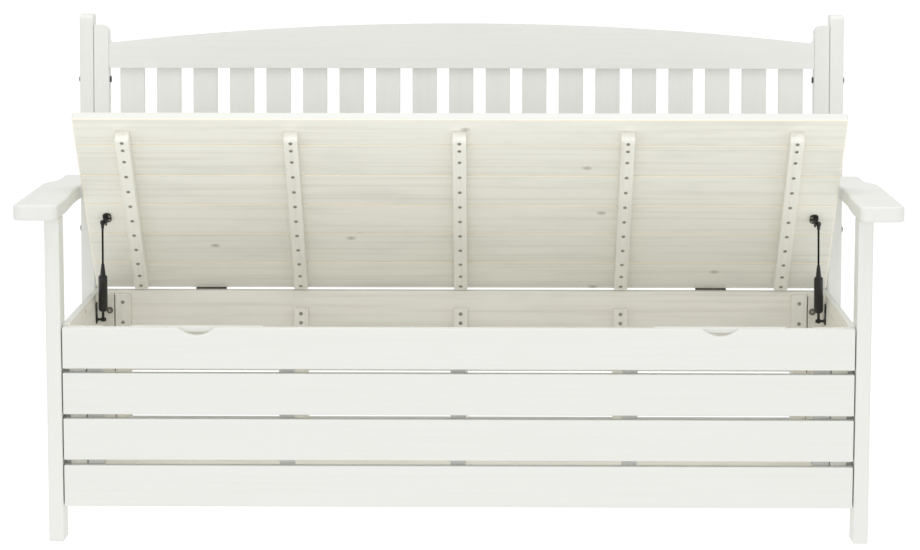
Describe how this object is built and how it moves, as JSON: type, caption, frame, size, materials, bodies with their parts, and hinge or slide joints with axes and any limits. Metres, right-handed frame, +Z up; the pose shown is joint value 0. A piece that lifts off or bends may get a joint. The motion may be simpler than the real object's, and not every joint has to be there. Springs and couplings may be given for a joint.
{
  "type": "storage bench",
  "caption": "Slatted garden storage bench in white paint: arched slatted back, armrests, hinged lid held open by stays over a storage box.",
  "frame": {"origin": "on the floor, under the middle of the overall box", "axes": "+X to the right across the bench as seen from the front, +Y from the front to the back, +Z up"},
  "size_m": [1.596, 0.6, 0.937],
  "materials": {
    "white_paint": "white satin paint on softwood",
    "cream_primer": "thin cream-white paint, grain faintly showing",
    "black_steel": "black satin coating",
    "zinc_steel": "zinc-plated"
  },
  "bodies": {
    "frame": {"front_leg_left": "white_paint", "front_leg_right": "white_paint", "rear_leg_left": "white_paint", "rear_leg_right": "white_paint", "armrest_left": "white_paint", "armrest_right": "white_paint", "front_slat_1": "white_paint", "front_slat_2": "white_paint", "front_slat_3": "white_paint", "front_slat_4": "white_paint", "front_cleats": "cream_primer", "grip_strips": "cream_primer", "side_slat_left_1": "white_paint", "side_slat_left_2": "white_paint", "side_slat_left_3": "white_paint", "side_slat_left_4": "white_paint", "side_slat_right_1": "white_paint", "side_slat_right_2": "white_paint", "side_slat_right_3": "white_paint", "side_slat_right_4": "white_paint", "corner_cleats_left": "cream_primer", "corner_cleats_right": "cream_primer", "rear_slat_1": "white_paint", "rear_slat_2": "white_paint", "rear_slat_3": "white_paint", "rear_slat_4": "white_paint", "rear_cleats": "cream_primer", "floor_bearers": "cream_primer", "floor_slats": "cream_primer", "back_stile_left": "white_paint", "back_stile_right": "white_paint", "back_top_rail": "white_paint", "back_bottom_rail": "white_paint", "back_slats": "white_paint", "back_bolts": "black_steel", "back_nuts": "black_steel", "leg_bolts": "zinc_steel", "corner_bolts": "black_steel", "cleat_screws": "zinc_steel", "arm_screws": "zinc_steel", "arm_plugs": "white_paint", "hinge_frame_leaves": "black_steel", "hinge_pins": "zinc_steel", "stay_brackets": "black_steel"},
    "lid": {"lid_slat_1": "cream_primer", "lid_slat_2": "cream_primer", "lid_slat_3": "cream_primer", "lid_slat_4": "cream_primer", "lid_slat_5": "cream_primer", "lid_slat_6": "cream_primer", "lid_battens": "cream_primer", "lid_screws": "zinc_steel", "hinge_lid_leaves": "black_steel", "stay_lid_fittings": "black_steel"},
    "stay_tube_left": {"stay_tube_left": "black_steel"},
    "stay_rod_left": {"stay_rod_left": "zinc_steel"},
    "stay_tube_right": {"stay_tube_right": "black_steel"},
    "stay_rod_right": {"stay_rod_right": "zinc_steel"}
  },
  "joints": [
    {"name": "lid_hinge", "type": "hinge", "parent": "frame", "child": "lid", "pos_m": [0, 0.217, 0.3985], "axis": [1, 0, 0], "range_deg": [0, 47.8]},
    {"name": "stay_left_pivot", "type": "hinge", "parent": "frame", "child": "stay_tube_left", "pos_m": [-0.694, 0.138, 0.35], "axis": [1, 0, 0], "range_deg": [0, 54.52]},
    {"name": "stay_left_slide", "type": "slide", "parent": "stay_tube_left", "child": "stay_rod_left", "axis": [0.0522, -0.3412, 0.9385], "range_m": [-0.07264, 0]},
    {"name": "stay_right_pivot", "type": "hinge", "parent": "frame", "child": "stay_tube_right", "pos_m": [0.694, 0.138, 0.35], "axis": [1, 0, 0], "range_deg": [0, 54.52]},
    {"name": "stay_right_slide", "type": "slide", "parent": "stay_tube_right", "child": "stay_rod_right", "axis": [-0.0522, -0.3412, 0.9385], "range_m": [-0.07264, 0]}
  ],
  "couplings": [
    {"joint": "stay_left_pivot", "follows": "lid_hinge", "ratio": 1.1396},
    {"joint": "stay_left_slide", "follows": "lid_hinge", "m_per_rad": -0.086954},
    {"joint": "stay_right_pivot", "follows": "lid_hinge", "ratio": 1.1396},
    {"joint": "stay_right_slide", "follows": "lid_hinge", "m_per_rad": -0.086954}
  ]
}
